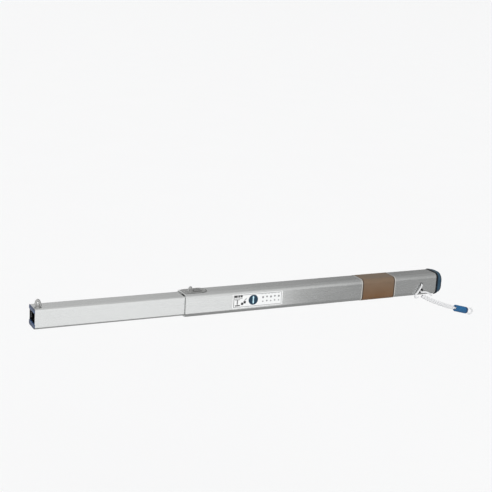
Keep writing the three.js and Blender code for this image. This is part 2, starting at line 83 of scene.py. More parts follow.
# ---- Sizes of the finer shapes ----

OUTER_CORNER, INNER_CORNER, WALL = 10 * MM, 4.5 * MM, 2 * MM
CORNER_STEPS = 12
TUBE_EDGE = 0.5 * MM          # rounding of the sawn tube ends
BUTT_EDGE = 1.0 * MM          # wider dressed edge at the butt
INNER_EDGE = 0.35 * MM        # rounding of the inner tube's ends
UPPER_HOLE, LOWER_HOLE = 2.9 * MM, 5 * MM   # radii of the two cord holes
PAD_ROOM, SLIDER_TRAVEL = 0.3, 6            # the brake's slot: gap and travel, in millimetres
STEEP = 0.75                  # faces of the lock plate whose normal rises less than this are painted dark, as shade under its edge
CAP_CORNER, CAP_EDGE = 11.5 * MM, 3.6 * MM
CAP_DRAW, CAP_BLEND = 1.0 * MM, 7.5 * MM    # how far the cap closes in and rounds off by its face
SPIGOT_HALF, SPIGOT_CORNER, SPIGOT_WALL = 22.7 * MM, 7.7 * MM, 4 * MM
STRAND = 4 * MM               # diameter of one cord of the tether
PLAIT = 10.6 * MM             # width of the plait
LAY_DEPTH = 0.06              # how deep the lobes of a laid cord are, as a share of its radius
FINE = 0.5 * MM               # step along the cords

# The tether's routes, in millimetres.
# Thin strand: out of the upper hole, down the near side and round under the lower corner.
STRAND_ROUTE = [
    (-58.5, -20.5, 2.8), (-58.5, -25, 2.8), (-59, -28, 2.2), (-61, -29.6, -1), (-64, -29.6, -6.5),
    (-68, -29.4, -12.5), (-71.5, -28.8, -17.5), (-73.8, -27.4, -22), (-73.4, -25.8, -26),
    (-70.6, -25.4, -28.6), (-66.6, -26.6, -28.4), (-63.4, -28, -26.6),
]
# Smooth strand: out of the lower hole, over in a low arc and along the top of the plait.
ARC_ROUTE = [
    (-58.5, -20.5, -13), (-58.8, -25, -13.4), (-59.4, -29, -14.4), (-57, -32.2, -14.4),
    (-52.5, -33.6, -14), (-47, -33.8, -15.2), (-41.5, -33.6, -17.6), (-36, -33.1, -20.8),
    (-31, -32.4, -24),
]
# Plaited lanyard: from the two strands down past the butt to the ferrule.
PLAIT_ROUTE = [
    (-58, -31.6, -24.2), (-50, -31.4, -27.4), (-42, -31, -31.2), (-34, -30.4, -35),
    (-26, -29.6, -38.6), (-18, -28.8, -42), (-10, -27.8, -45.2), (-2, -26.8, -48.4),
    (6, -25.8, -51.4), (14, -24.8, -54.3), (22, -23.6, -57.1), (30, -22.4, -59.8),
    (38, -21, -62.4), (46, -19.6, -64.9), (52, -18.5, -66.8),
]
FERRULE_AXIS = Vector((0.948, 0.16, -0.276)).normalized()
FERRULE_GAP, FERRULE_LENGTH, FERRULE_RADIUS = 0.3 * MM, 40 * MM, 8 * MM
GRIP_RINGS = (0.2, 0.8)       # where the ferrule's two rings are, as shares of its length
PLAIT_TUCK = 4.5              # how far the plait runs into the ferrule, in millimetres
RIVET = (3.2 * MM, 1.1 * MM, 1.6 * MM)      # head radius, head height and shank radius
SCREW = (3.8 * MM, 2.2 * MM, 2 * MM)
MOUTH_WIRE, TIP_WIRE = 1.7 * MM, 2.4 * MM   # wire radii of the two line eyes


# ---- Material nodes ----

EDGE_FROM, EDGE_TO = 0.53, 0.6      # the pointiness at which an edge starts to wear and is worn


class Look:
    """One material's node tree, with short calls for the nodes that the finishes share."""

    def __init__(self, name, values):
        self.material = bpy.data.materials.new(name)
        self.material.use_nodes = True
        self.tree = self.material.node_tree
        self.shader = self.tree.nodes["Principled BSDF"]
        self.place = self.tree.nodes.new("ShaderNodeTexCoord").outputs["Object"]
        for socket, value in values.items():
            self.shader.inputs[socket].default_value = value

    def new(self, kind, inputs=None, **settings):
        node = self.tree.nodes.new(kind)
        for key, value in settings.items():
            setattr(node, key, value)
        for socket, value in (inputs or {}).items():
            if isinstance(value, bpy.types.NodeSocket):
                self.tree.links.new(value, node.inputs[socket])
            else:
                node.inputs[socket].default_value = value
        return node

    def stretched(self, scale, turn=(0, 0, 0), place=None):
        where = self.place if place is None else place
        node = self.new("ShaderNodeMapping", {"Vector": where, "Rotation": turn, "Scale": scale})
        return node.outputs["Vector"]

    def noise(self, scale, turn=(0, 0, 0), detail=3.0, rough=0.5):
        where = self.stretched(scale, turn)
        node = self.new("ShaderNodeTexNoise",
                        {"Vector": where, "Scale": 1.0, "Detail": detail, "Roughness": rough})
        return node.outputs["Fac"]

    def spread(self, factor, low, high, to_low=0.0, to_high=1.0):
        node = self.new("ShaderNodeMapRange", {"Value": factor, "From Min": low, "From Max": high,
                                               "To Min": to_low, "To Max": to_high})
        return node.outputs["Result"]

    def math(self, operation, a, b=0.0):
        node = self.new("ShaderNodeMath", {0: a, 1: b}, operation=operation)
        return node.outputs["Value"]

    def mix(self, factor, a, b):
        node = self.new("ShaderNodeMix", {"Factor": factor, "A": (0, 0, 0, 1), "B": (0, 0, 0, 1)},
                        data_type="RGBA")
        for key, value in ((6, a), (7, b)):
            if isinstance(value, bpy.types.NodeSocket):
                self.tree.links.new(value, node.inputs[key])
            else:
                node.inputs[key].default_value = (*value, 1.0)
        return node.outputs[2]

    def axis(self, name):
        return self.new("ShaderNodeSeparateXYZ", {"Vector": self.place}).outputs[name]

    def edges(self):
        """1 on outside edges, 0 on flats."""
        worn = self.tree.nodes.new("ShaderNodeNewGeometry").outputs["Pointiness"]
        return self.spread(worn, EDGE_FROM, EDGE_TO)

    def set(self, socket, value):
        self.tree.links.new(value, self.shader.inputs[socket])

    def bump(self, height, distance, strength):
        node = self.new("ShaderNodeBump",
                        {"Height": height, "Distance": distance, "Strength": strength})
        self.set("Normal", node.outputs["Normal"])


def aluminium_look():
    """Satin anodised extrusion: die lines along X, faint clouding and a few hairline scratches."""
    look = Look("anodised_aluminium", {"Metallic": 1.0})
    die_lines = look.noise((11, 1900, 1900), detail=5, rough=0.65)
    grain = look.noise((900, 6500, 6500), detail=2)
    cloud = look.noise((7, 26, 26), detail=4)
    hairline = look.noise((34, 1300, 1300), turn=(0, 0.05, 0.07), detail=6, rough=0.7)
    scratched = look.spread(hairline, 0.66, 0.72)
    tone = look.mix(cloud, (0.775, 0.79, 0.785), (0.84, 0.85, 0.842))
    tone = look.mix(look.spread(die_lines, 0.35, 0.7), tone, (0.8, 0.81, 0.805))
    look.set("Base Color", look.mix(look.math("MULTIPLY", scratched, 0.4), tone, (0.9, 0.905, 0.9)))
    satin = look.spread(die_lines, 0.3, 0.7, 0.21, 0.3)
    look.set("Roughness", look.math("ADD", satin, look.spread(cloud, 0.3, 0.7, -0.03, 0.04)))
    height = look.math("ADD", die_lines, look.math("MULTIPLY", grain, 0.35))
    look.bump(look.math("SUBTRACT", height, look.math("MULTIPLY", scratched, 0.4)), 0.012 * MM, 0.5)
    return look.material


def steel_look():
    """Zinc-plated steel with a fine tumbled grain and dulled hollows."""
    look = Look("plated_steel", {"Metallic": 1.0})
    grain = look.noise((2400, 2400, 2400), detail=4)
    cloud = look.noise((160, 160, 160), detail=4)
    tone = look.mix(cloud, (0.48, 0.485, 0.48), (0.6, 0.6, 0.59))
    look.set("Base Color", look.mix(look.edges(), tone, (0.78, 0.78, 0.77)))
    look.set("Roughness", look.spread(cloud, 0.3, 0.7, 0.22, 0.38))
    look.bump(grain, 0.02 * MM, 0.4)
    return look.material


def brass_look():
    """Turned brass, a little tarnished."""
    look = Look("turned_brass", {"Metallic": 1.0})
    cloud = look.noise((420, 420, 420), detail=4)
    turned = look.noise((5200, 500, 500), detail=2)
    look.set("Base Color", look.mix(cloud, (0.5, 0.34, 0.13), (0.72, 0.53, 0.23)))
    look.set("Roughness", look.spread(cloud, 0.3, 0.7, 0.24, 0.42))
    look.bump(turned, 0.02 * MM, 0.5)
    return look.material


def moulded_look(name, dark, light, worn, gloss, shaded=None, shine=0.5):
    """Injection-moulded plastic: spark-eroded grain, slow colour drift and paler rubbed edges.

    shaded is (x, start, end, colour): the colour takes over from start to end away from x; on the
    caps and the mouth bush it is painted shade.
    """
    look = Look(name, {"Specular IOR Level": shine})
    grain = look.noise((1700, 1700, 1700), detail=3)
    cloud = look.noise((70, 70, 70), detail=4)
    flow = look.noise((18, 160, 160), turn=(0.3, 0.2, 0.4), detail=3)
    rubbed = look.math("MULTIPLY", look.edges(),
                       look.spread(look.noise((240, 240, 240)), 0.4, 0.62))
    tone = look.mix(look.spread(cloud, 0.3, 0.7), dark, light)
    tone = look.mix(look.math("MULTIPLY", rubbed, 0.7), tone, worn)
    # Painted shade on the caps and the mouth bush: a darker colour away from x.
    if shaded:
        x, start, end, colour = shaded
        away = look.math("ABSOLUTE", look.math("SUBTRACT", look.axis("X"), x))
        tone = look.mix(look.spread(away, start, end), tone, colour)
    look.set("Base Color", tone)
    look.set("Roughness", look.spread(flow, 0.3, 0.7, gloss - 0.06, gloss + 0.08))
    look.bump(look.math("ADD", grain, look.math("MULTIPLY", flow, 0.3)), 0.035 * MM, 0.45)
    return look.material


def rubber_look():
    """Matt black rubber with a dusty bloom."""
    look = Look("black_rubber", {"Specular IOR Level": 0.35})
    grain = look.noise((3000, 3000, 3000), detail=3)
    bloom = look.spread(look.noise((320, 320, 320), detail=4), 0.45, 0.75)
    look.set("Base Color", look.mix(bloom, (0.012, 0.012, 0.013), (0.04, 0.04, 0.041)))
    look.set("Roughness", look.spread(bloom, 0, 1, 0.62, 0.85))
    look.bump(grain, 0.03 * MM, 0.5)
    return look.material


def film_look(name, dark, light, gloss):
    """Printed plastic film: fine press mottle, with the slight ripple of hand-laid film."""
    look = Look(name, {"Specular IOR Level": 0.5})
    mottle = look.noise((2600, 2600, 2600), detail=2)
    ripple = look.noise((55, 120, 120), detail=2)
    look.set("Base Color", look.mix(mottle, dark, light))
    look.set("Roughness", look.spread(ripple, 0.3, 0.7, gloss - 0.05, gloss + 0.06))
    look.bump(ripple, 0.05 * MM, 0.25)
    return look.material


def band_look():
    """Brown packing film: glossy, streaked along the wind, with a clear margin at both edges."""
    look = Look("brown_packing_film", {"Specular IOR Level": 0.4, "Coat Weight": 0.15,
                                       "Coat Roughness": 0.16})
    middle, half = (BAND_LOW.x + BAND_HIGH.x) / 2, (BAND_HIGH.x - BAND_LOW.x) / 2
    out = look.math("ABSOLUTE", look.math("SUBTRACT", look.axis("X"), middle))
    streak = look.noise((620, 34, 34), detail=4)
    blotch = look.noise((24, 40, 40), detail=4)
    # Painted light: the film is greyer on top like a reflection of the light above, and oranger low
    # down like light from below.
    painted_light_low_down = look.spread(look.axis("Z"), OUTER_HALF, -OUTER_HALF)
    tone = look.mix(painted_light_low_down, (0.155, 0.115, 0.08), (0.14, 0.06, 0.016))
    tone = look.mix(look.spread(streak, 0.35, 0.7, 0, 0.5), tone, (0.15, 0.092, 0.054))
    tone = look.mix(look.spread(blotch, 0.4, 0.75, 0, 0.35), tone, (0.2, 0.125, 0.075))
    doubled = look.spread(out, half - 5.4 * MM, half - 4.2 * MM)
    tone = look.mix(look.math("MULTIPLY", doubled, 0.85), tone, (0.03, 0.019, 0.013))
    margin = look.spread(out, half - 2.3 * MM, half - 2.0 * MM)
    look.set("Base Color", look.mix(margin, tone, (0.43, 0.42, 0.4)))
    look.set("Roughness", look.spread(streak, 0.3, 0.7, 0.3, 0.44))
    look.bump(look.math("ADD", streak, look.math("MULTIPLY", doubled, 1.5)), 0.04 * MM, 0.4)
    return look.material


def rope_look():
    """White braided polyester: crossing yarns drawn from the cord's lengths along and around, with
    painted shade in the gaps between them.
    """
    look = Look("white_rope", {"Specular IOR Level": 0.25, "Sheen Weight": 0.12,
                               "Sheen Roughness": 0.5})
    along = look.new("ShaderNodeUVMap", uv_map="along").outputs["UV"]
    yarns = [
        look.new("ShaderNodeTexWave", {"Vector": look.stretched((420, side * 420, 0), place=along),
                                       "Scale": 0.6, "Distortion": 0.6, "Detail": 2.0},
                 bands_direction="DIAGONAL").outputs["Fac"]
        for side in (-1, 1)
    ]
    braid = look.math("MAXIMUM", *yarns)
    fibre = look.noise((3600, 3600, 3600), detail=3)
    soil = look.noise((150, 150, 150), detail=4)
    # Painted shade: the gaps between the crossing yarns are much darker than the white yarns.
    tone = look.mix(look.spread(braid, 0.2, 0.75), (0.27, 0.27, 0.29), (0.78, 0.785, 0.79))
    tone = look.mix(look.spread(soil, 0.5, 0.8, 0, 0.35), tone, (0.55, 0.545, 0.53))
    look.set("Base Color", tone)
    look.set("Roughness", look.spread(fibre, 0.3, 0.7, 0.78, 0.92))
    look.bump(look.math("ADD", braid, look.math("MULTIPLY", fibre, 0.4)), 0.12 * MM, 0.7)
    return look.material


FINISH = {
    "aluminium": aluminium_look(),
    "steel": steel_look(),
    "brass": brass_look(),
    # Painted shade darkens the butt cap towards both ends: at the joint with the tube and round its
    # outer edge.
    "blue_plastic": moulded_look("blue_moulding", (0.014, 0.045, 0.08), (0.026, 0.075, 0.12),
                                 (0.12, 0.2, 0.28), 0.34,
                                 ((BUTT_X + CAP_HIGH.x) / 2, 3.1 * MM, 5.6 * MM,
                                  (0.002, 0.005, 0.011))),
    # Painted shade turns the tip cap near black from 1 to 3 mm behind the tip, as shade in its
    # window.
    "tip_moulding": moulded_look("tip_blue_moulding", (0.006, 0.022, 0.07), (0.012, 0.038, 0.12),
                                 (0.1, 0.18, 0.34), 0.34,
                                 (INNER_LOW.x, 1 * MM, 3 * MM, (0.003, 0.003, 0.004)), shine=0.12),
    "bright_blue_plastic": moulded_look("bright_blue_moulding", (0.006, 0.085, 0.2),
                                        (0.009, 0.105, 0.27), (0.07, 0.22, 0.42), 0.4,
                                        (PLAIT_ROUTE[-1][0] * MM, 31 * MM, 37 * MM,
                                         (0.002, 0.025, 0.1))),
    # Painted shade turns the mouth bush near black from 1.4 to 2.4 mm behind its front, as shade in
    # its notch and bore.
    "grey_plastic": moulded_look("grey_moulding", (0.5, 0.51, 0.51), (0.6, 0.605, 0.6),
                                 (0.7, 0.7, 0.7), 0.48,
                                 (BUSH_LOW.x, 1.4 * MM, 2.4 * MM, (0.006, 0.006, 0.006))),
    "dark_plastic": moulded_look("dark_moulding", (0.15, 0.152, 0.15), (0.2, 0.202, 0.2),
                                 (0.24, 0.24, 0.235), 0.45),
    "rubber": rubber_look(),
    "printed_film": film_look("white_film", (0.72, 0.73, 0.73), (0.79, 0.795, 0.79), 0.34),
    "brown_tape": band_look(),
    "white_rope": rope_look(),
}
INK = {
    "black": film_look("black_ink", (0.012, 0.012, 0.013), (0.035, 0.035, 0.037), 0.42),
    "grey": film_look("grey_ink", (0.13, 0.13, 0.135), (0.2, 0.2, 0.205), 0.42),
    "blue": film_look("blue_ink", (0.002, 0.026, 0.052), (0.003, 0.036, 0.068), 0.42),
    "white": film_look("white_ink", (0.48, 0.72, 0.82), (0.54, 0.78, 0.88), 0.4),
}


# ---- Mesh tools ----


def to_mesh(bm, name, sharp_degrees=32):
    bmesh.ops.recalc_face_normals(bm, faces=bm.faces)
    mesh = bpy.data.meshes.new(name)
    bm.to_mesh(mesh)
    bm.free()
    mesh.polygons.foreach_set("use_smooth", [True] * len(mesh.polygons))
    mesh.set_sharp_from_angle(angle=math.radians(sharp_degrees))
    return mesh


def add_piece(node, mesh, slot, more_looks=(), finish=None):
    """A piece that stands for a CAD node, rides on its body and takes the slot's finish."""
    piece = bpy.data.objects.new(f"{node}_detailed", mesh)
    bpy.context.scene.collection.objects.link(piece)
    for material in (FINISH[finish or slot], *more_looks):
        mesh.materials.append(material)
    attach(piece, NODES[node]["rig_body"])
    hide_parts(node)
    return piece


def even_normals(piece):
    """Keeps flat faces flat beside small rounded edges."""
    piece.modifiers.new("even_normals", "WEIGHTED_NORMAL").keep_sharp = True
    return piece


def applied(mesh, add_modifiers):
    """The mesh with the modifiers that add_modifiers puts on it."""
    holder = bpy.data.objects.new("holder", mesh)
    bpy.context.scene.collection.objects.link(holder)
    add_modifiers(holder)
    graph = bpy.context.evaluated_depsgraph_get()
    result = bpy.data.meshes.new_from_object(holder.evaluated_get(graph))
    bpy.data.objects.remove(holder)
    return result


def carved(mesh, tools, sharp_degrees=32):
    """The mesh with each tool's mesh cut out of it."""
    cutters = []
    for tool in tools:
        cutter = bpy.data.objects.new("cutter", tool)
        bpy.context.scene.collection.objects.link(cutter)
        cutters.append(cutter)

    def cut(holder):
        for cutter in cutters:
            step = holder.modifiers.new("cut", "BOOLEAN")
            step.operation, step.solver, step.object = "DIFFERENCE", "EXACT", cutter

    result = applied(mesh, cut)
    for cutter in cutters:
        bpy.data.objects.remove(cutter)
    result.polygons.foreach_set("use_smooth", [True] * len(result.polygons))
    result.set_sharp_from_angle(angle=math.radians(sharp_degrees))
    return result


def loft(bm, rings, loop=False):
    """Skins rings of points in turn; the ends are capped, or with loop the last joins the first."""
    made = [[bm.verts.new(p) for p in ring] for ring in rings]
    pairs = list(zip(made, made[1:])) + ([(made[-1], made[0])] if loop else [])
    for near, far in pairs:
        for i in range(len(near)):
            j = (i + 1) % len(near)
            bm.faces.new((near[i], near[j], far[j], far[i]))
    if not loop:
        bm.faces.new(reversed(made[0]))
        bm.faces.new(made[-1])


def rounded_square(x, half, corner):
    """A ring of points round a rounded square across the boom at x."""
    flat = half - corner
    # Each corner's centre, and where its round starts in half turns.
    centres = [(flat, -flat, -0.5), (flat, flat, 0), (-flat, flat, 0.5), (-flat, -flat, 1)]
    ring = []
    for cy, cz, turn in centres:
        for i in range(CORNER_STEPS + 1):
            angle = (turn + 0.5 * i / CORNER_STEPS) * math.pi
            ring.append(Vector((x, cy + corner * math.cos(angle), cz + corner * math.sin(angle))))
    return ring


def rim(x, into, half, corner, radius, outside=True, steps=4):
    """Rings that round the edge from an end face at x to a side wall; into is +1 or -1 along X."""
    sign = 1 if outside else -1
    rings = []
    for i in range(steps + 1):
        angle = math.pi / 2 * i / steps
        inset = sign * radius * (1 - math.sin(angle))
        along = radius * (1 - math.cos(angle))
        rings.append(rounded_square(x + into * along, half - inset, corner - inset))
    return rings


def tube(x0, x1, half, corner, wall, edge, far_edge):
    """A square tube open at both ends; far_edge is the rounding outside at x1."""
    bm = bmesh.new()
    bore, bore_corner = half - wall, corner - wall
    rings = rim(x0, 1, half, corner, edge)
    rings += rim(x1, -1, half, corner, far_edge)[::-1]
    rings += rim(x1, -1, bore, bore_corner, edge, outside=False)
    rings += rim(x0, 1, bore, bore_corner, edge, outside=False)[::-1]
    loft(bm, rings, loop=True)
    return to_mesh(bm, "tube")


def along_axis(origin, direction):
    """A matrix that takes the local Z axis to that direction from that origin."""
    turn = Vector(direction).to_track_quat("Z", "Y").to_matrix().to_4x4()
    return Matrix.Translation(Vector(origin)) @ turn


def lathe(bm, profile, place, steps=48, loop=False):
    """Turns a profile of (radius, height) points round place's Z axis."""
    rings = []
    for radius, height in profile:
        count = 1 if radius < 1e-9 else steps
        rings.append([
            bm.verts.new(place @ Vector((radius * math.cos(2 * math.pi * i / steps),
                                         radius * math.sin(2 * math.pi * i / steps), height)))
            for i in range(count)
        ])
    pairs = list(zip(rings, rings[1:])) + ([(rings[-1], rings[0])] if loop else [])
    for near, far in pairs:
        for i in range(steps):
            j = (i + 1) % steps
            spots = ((near, i), (near, j), (far, j), (far, i))
            corners = list(dict.fromkeys(ring[k % len(ring)] for ring, k in spots))
            if len(corners) > 2:
                bm.faces.new(corners)


def turned(profile, place, steps=48, loop=False, sharp_degrees=32):
    bm = bmesh.new()
    lathe(bm, profile, place, steps, loop)
    return to_mesh(bm, "turned", sharp_degrees)


def arc(radius, height, size, start, end):
    """Points of a profile on a round of that size about (radius, height), angles in degrees."""
    steps = 5
    points = []
    for i in range(steps + 1):
        angle = math.radians(start + (end - start) * i / steps)
        points.append((radius + size * math.cos(angle), height + size * math.sin(angle)))
    return points


def block(low, high):
    bm = bmesh.new()
    size = Vector(high) - Vector(low)
    place = Matrix.Translation((Vector(low) + Vector(high)) / 2) @ Matrix.Diagonal((*size, 1))
    bmesh.ops.create_cube(bm, size=1.0, matrix=place)
    return to_mesh(bm, "block")


def quarter_turn(start):
    """Seven angles in radians through a quarter turn from start, which is in degrees."""
    return [math.radians(start + 15 * i) for i in range(7)]


def rod(origin, direction, radius, length):
    return turned([(0, 0), (radius, 0), (radius, length), (0, length)],
                  along_axis(origin, direction))


def refined(node, slot, edge, finish=None):
    """The CAD node's own shape with its flat faces joined up and its edges rounded."""
    bm = bmesh.new()
    bm.from_mesh(NODES[node].data)
    bmesh.ops.remove_doubles(bm, verts=bm.verts, dist=1e-6)
    bmesh.ops.dissolve_limit(bm, angle_limit=math.radians(1), verts=bm.verts, edges=bm.edges)
    piece = add_piece(node, to_mesh(bm, node), slot, finish=finish)
    bevel = piece.modifiers.new("rounded_edges", "BEVEL")
    bevel.width, bevel.segments = edge, 3
    bevel.limit_method, bevel.angle_limit = "ANGLE", math.radians(30)
    return even_normals(piece)


# ---- Tubes, caps and bush ----


def build_outer_tube():
    """The outer extrusion with its two cord holes and the slot for the brake."""
    mesh = tube(MOUTH_X, BUTT_X, OUTER_HALF, OUTER_CORNER, WALL, TUBE_EDGE, BUTT_EDGE)
    tools = []
    for node, radius in (("cord_grommet_upper", UPPER_HOLE), ("cord_grommet_lower", LOWER_HOLE)):
        low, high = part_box(node)
        middle = (low + high) / 2
        start = (middle.x, -OUTER_HALF - WALL, middle.z)
        tools.append(rod(start, (0, 1, 0), radius, 3 * WALL))
    pad_low, pad_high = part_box("brake_pad")
    room = Vector((PAD_ROOM, PAD_ROOM, 0)) * MM
    travel = Vector((SLIDER_TRAVEL, 0, 0)) * MM
    low, high = pad_low - room, pad_high + room + travel
    low.z, high.z = OUTER_HALF - 2 * WALL, OUTER_HALF + WALL
    tools.append(block(low, high))
    even_normals(add_piece("outer_tube", carved(mesh, tools), "aluminium"))


def build_inner_tube():
    """The inner extrusion, with crisp corners."""
    mesh = tube(INNER_LOW.x, INNER_HIGH.x, INNER_HALF, INNER_CORNER, WALL, INNER_EDGE, INNER_EDGE)
    even_normals(add_piece("inner_tube", mesh, "aluminium"))


def build_butt_cap():
    """End cap: hollow spigot, a shadow groove against the tube, then a flange with a soft edge."""
    half = CAP_HIGH.y
    hollow = SPIGOT_HALF - SPIGOT_WALL
    hollow_corner = SPIGOT_CORNER - 3 * MM
    groove = 0.7 * MM
    bm = bmesh.new()
    rings = [rounded_square(BUTT_X - 4 * MM, hollow, hollow_corner)]
    rings += rim(CAP_LOW.x, 1, hollow, hollow_corner, 0.4 * MM, outside=False)[::-1]
    rings += rim(CAP_LOW.x, 1, SPIGOT_HALF, SPIGOT_CORNER, 0.6 * MM)
    rings.append(rounded_square(BUTT_X + groove, SPIGOT_HALF, SPIGOT_CORNER))
    rings += rim(BUTT_X + groove, 1, half, CAP_CORNER, 0.5 * MM)
    steps = 6
    for i in range(1, steps):
        share = i / steps
        x = BUTT_X + 2 * MM + share * (CAP_HIGH.x - CAP_EDGE - BUTT_X - 2 * MM)
        rings.append(rounded_square(x, half - CAP_DRAW * share ** 2,
                                    CAP_CORNER + CAP_BLEND * share))
    rings += rim(CAP_HIGH.x, -1, half - CAP_DRAW, CAP_CORNER + CAP_BLEND, CAP_EDGE, steps=8)[::-1]
    loft(bm, rings)
    tools = []
    for node in ("butt_insert_near", "butt_insert_far"):
        low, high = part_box(node)
        middle = (low + high) / 2
        tools.append(rod((MM, middle.y, middle.z), (-1, 0, 0), 4.8 * MM, 13.3 * MM))
    even_normals(add_piece("butt_cap", carved(to_mesh(bm, "cap"), tools), "blue_plastic"))


def build_inserts():
    """Threaded brass inserts: a chamfered barrel with ridges for the thread inside."""
    for node in ("butt_insert_near", "butt_insert_far"):
        low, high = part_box(node)
        middle = (low + high) / 2
        outer, bore, deep = 4.5 * MM, 2.6 * MM, high.x - low.x
        ridges = 9
        pitch = (deep - 2 * MM) / ridges
        profile = [(outer - 0.4 * MM, 0), (outer, 0.4 * MM), (outer, deep - 0.4 * MM)]
        profile += [(outer - 0.4 * MM, deep), (0, deep), (0, deep - 2 * MM)]
        for i in range(ridges, 0, -1):
            profile += [(bore + 0.35 * MM, (i - 0.25) * pitch), (bore, (i - 0.75) * pitch)]
        profile.append((bore + 0.5 * MM, 0))
        place = along_axis((high.x, middle.y, middle.z), (-1, 0, 0))
        add_piece(node, turned(profile, place, loop=True), "brass")


# ---- Line eyes, plate and fasteners ----


def build_eye(node, seat, wire):
    """Forged eye: a tall loop with legs that spread to a round collar, all in one soft skin."""
    low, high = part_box(node)
    x, y = (low.x + high.x) / 2, (low.y + high.y) / 2
    collar, collar_top, shank = 6.5 * MM, 1.6 * MM, 2.5 * MM
    spread, rise = (high.x - low.x) / 2 - wire, high.z - seat - wire
    leg = [(1, 0.08), (0.9, 0.3), (0.72, 0.58), (0.46, 0.84)]
    shape = [(-out, up) for out, up in leg] + [(0, 1)] + leg[::-1]
    route = [((x + out * spread) / MM, y / MM, (seat + up * rise) / MM) for out, up in shape]
    bm = bmesh.new()
    sweep(bm, smooth_route(route, 0.4 * MM), lambda gone, angle: wire, up=(0, 1, 0))
    profile = [(0, low.z - seat), (shank, low.z - seat), (shank, 0.05 * MM), (collar, 0.05 * MM)]
    profile += arc(collar - 0.7 * MM, collar_top - 0.7 * MM, 0.7 * MM, 0, 90)
    profile += [(shank + 1.5 * MM, collar_top), (shank, collar_top + 0.7 * MM),
                (0, collar_top + 0.9 * MM)]
    lathe(bm, profile, along_axis((x, y, seat), (0, 0, 1)))

    def forge(holder):
        skin = holder.modifiers.new("skin", "REMESH")
        skin.mode, skin.voxel_size = "VOXEL", 0.3 * MM
        soften = holder.modifiers.new("soften", "SMOOTH")
        soften.factor, soften.iterations = 0.5, 6

    mesh = applied(to_mesh(bm, node), forge)
    mesh.polygons.foreach_set("use_smooth", [True] * len(mesh.polygons))
    add_piece(node, mesh, "steel")


def domed(node, direction, seat, head, height, shank, recess=False):
    """A domed fastener head with its shank, and a cross recess if it is a screw."""
    low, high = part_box(node)
    middle = (low + high) / 2
    axis = Vector(direction)
    origin = middle - axis * middle.dot(axis) + axis * seat
    deep = (high - low).dot(Vector(map(abs, direction))) - height
    profile = [(0, -deep), (shank, -deep), (shank, 0), (head - 0.15 * MM, 0), (head, 0.2 * MM)]
    profile += [
        (head * math.cos(a), 0.3 * MM + (height - 0.3 * MM) * math.sin(a))
        for a in (math.radians(d) for d in (12, 26, 40, 54, 68, 80))
    ]
    profile.append((0, height))
    mesh = turned(profile, along_axis(origin, direction), sharp_degrees=50)
    if recess:
        tools = []
        for turn in (45, 135):
            blade = block((-2.1 * MM, -0.45 * MM, height - 1.3 * MM), (2.1 * MM, 0.45 * MM, 3 * MM))
            turn_blade = Matrix.Rotation(math.radians(turn), 4, "Z")
            blade.transform(along_axis(origin, direction) @ turn_blade)
            tools.append(blade)
        mesh = carved(mesh, tools, 40)
    add_piece(node, mesh, "steel")


def flush(node, side):
    """A flush rivet with a closed dimple in its face."""
    low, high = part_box(node)
    middle = (low + high) / 2
    radius, deep = (high.x - low.x) / 2, high.y - low.y
    profile = [(0, -deep), (radius, -deep), (radius, -0.25 * MM), (radius - 0.25 * MM, 0)]
    profile += [(1.15 * MM, 0), (0.8 * MM, -0.9 * MM), (0, -1.1 * MM)]
    face = high.y if side > 0 else low.y
    place = along_axis((middle.x, face, middle.z), (0, side, 0))
    add_piece(node, turned(profile, place, 32, sharp_degrees=25), "steel")


def plate_outline(inset):
    """Points round the tongue-shaped plate: square front, small corners, half-round back."""
    steps = 24
    front, half = PLATE_LOW.x + inset, PLATE_HIGH.y
    corner = max(3 * MM - inset, 0.3 * MM)
    round_x = PLATE_HIGH.x - half
    points = []
    for i in range(2 * steps + 1):
        angle = math.radians(-90 + 90 * i / steps)
        points.append((round_x + (half - inset) * math.cos(angle),
                       (half - inset) * math.sin(angle)))
    for start, side in ((90, 1), (180, -1)):
        for angle in quarter_turn(start):
            centre_y = side * (half - inset - corner)
            points.append((front + corner + corner * math.cos(angle),
                           centre_y + corner * math.sin(angle)))
    return points


def build_lock_plate():
    """Pressed plate: a dark edge of painted shade, and a rolled rim that dies away in front and by
    the rivet.
    """
    base, top, rise = PLATE_LOW.z, PLATE_HIGH.z, 0.7 * MM
    back = PLATE_HIGH.x - PLATE_HIGH.y

    def smooth(value, start, end):
        t = min(max((value - start) / (end - start), 0), 1)
        return t * t * (3 - 2 * t)

    def lifted(x, y, height, share):
        out = smooth(x, PLATE_LOW.x + 5 * MM, PLATE_LOW.x + 12 * MM)
        if x > back:
            out *= smooth(abs(y), 4 * MM, 8 * MM)
        return Vector((x, y, height + share * rise * out))

    levels = [(0.35, base, 0), (0, base + 0.25 * MM, 0), (0.15, base + 0.4 * MM, 0),
              (0.9, top - 0.4 * MM, 0.9), (1.05, top - 0.15 * MM, 1), (1.3, top, 1),
              (1.8, top, 1), (2.2, top, 0.85), (2.6, top, 0.4), (3.1, top, 0)]
    bm = bmesh.new()
    loft(bm, [[lifted(x, y, z, share) for x, y in plate_outline(inset * MM)]
              for inset, z, share in levels])
    eye_low, eye_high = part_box("mouth_eye")
    eye = (eye_low + eye_high) / 2
    pad_low, pad_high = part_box("brake_pad")
    slot_x = (pad_low.x + pad_high.x) / 2
    tools = [
        rod((eye.x, eye.y, base - MM), (0, 0, 1), 6.8 * MM, 5 * MM),
        block((slot_x - 3.3 * MM, -4.8 * MM, base - MM), (slot_x + 9.3 * MM, 4.8 * MM, top + MM)),
    ]
    mesh = carved(to_mesh(bm, "plate"), tools)
    # Painted shade: the plate's steep faces take the dark moulding, standing in for the shadow
    # under its edge.
    for face in mesh.polygons:
        face.material_index = int(face.normal.z < STEEP)
    even_normals(add_piece("lock_plate", mesh, "steel", [FINISH["dark_plastic"]]))


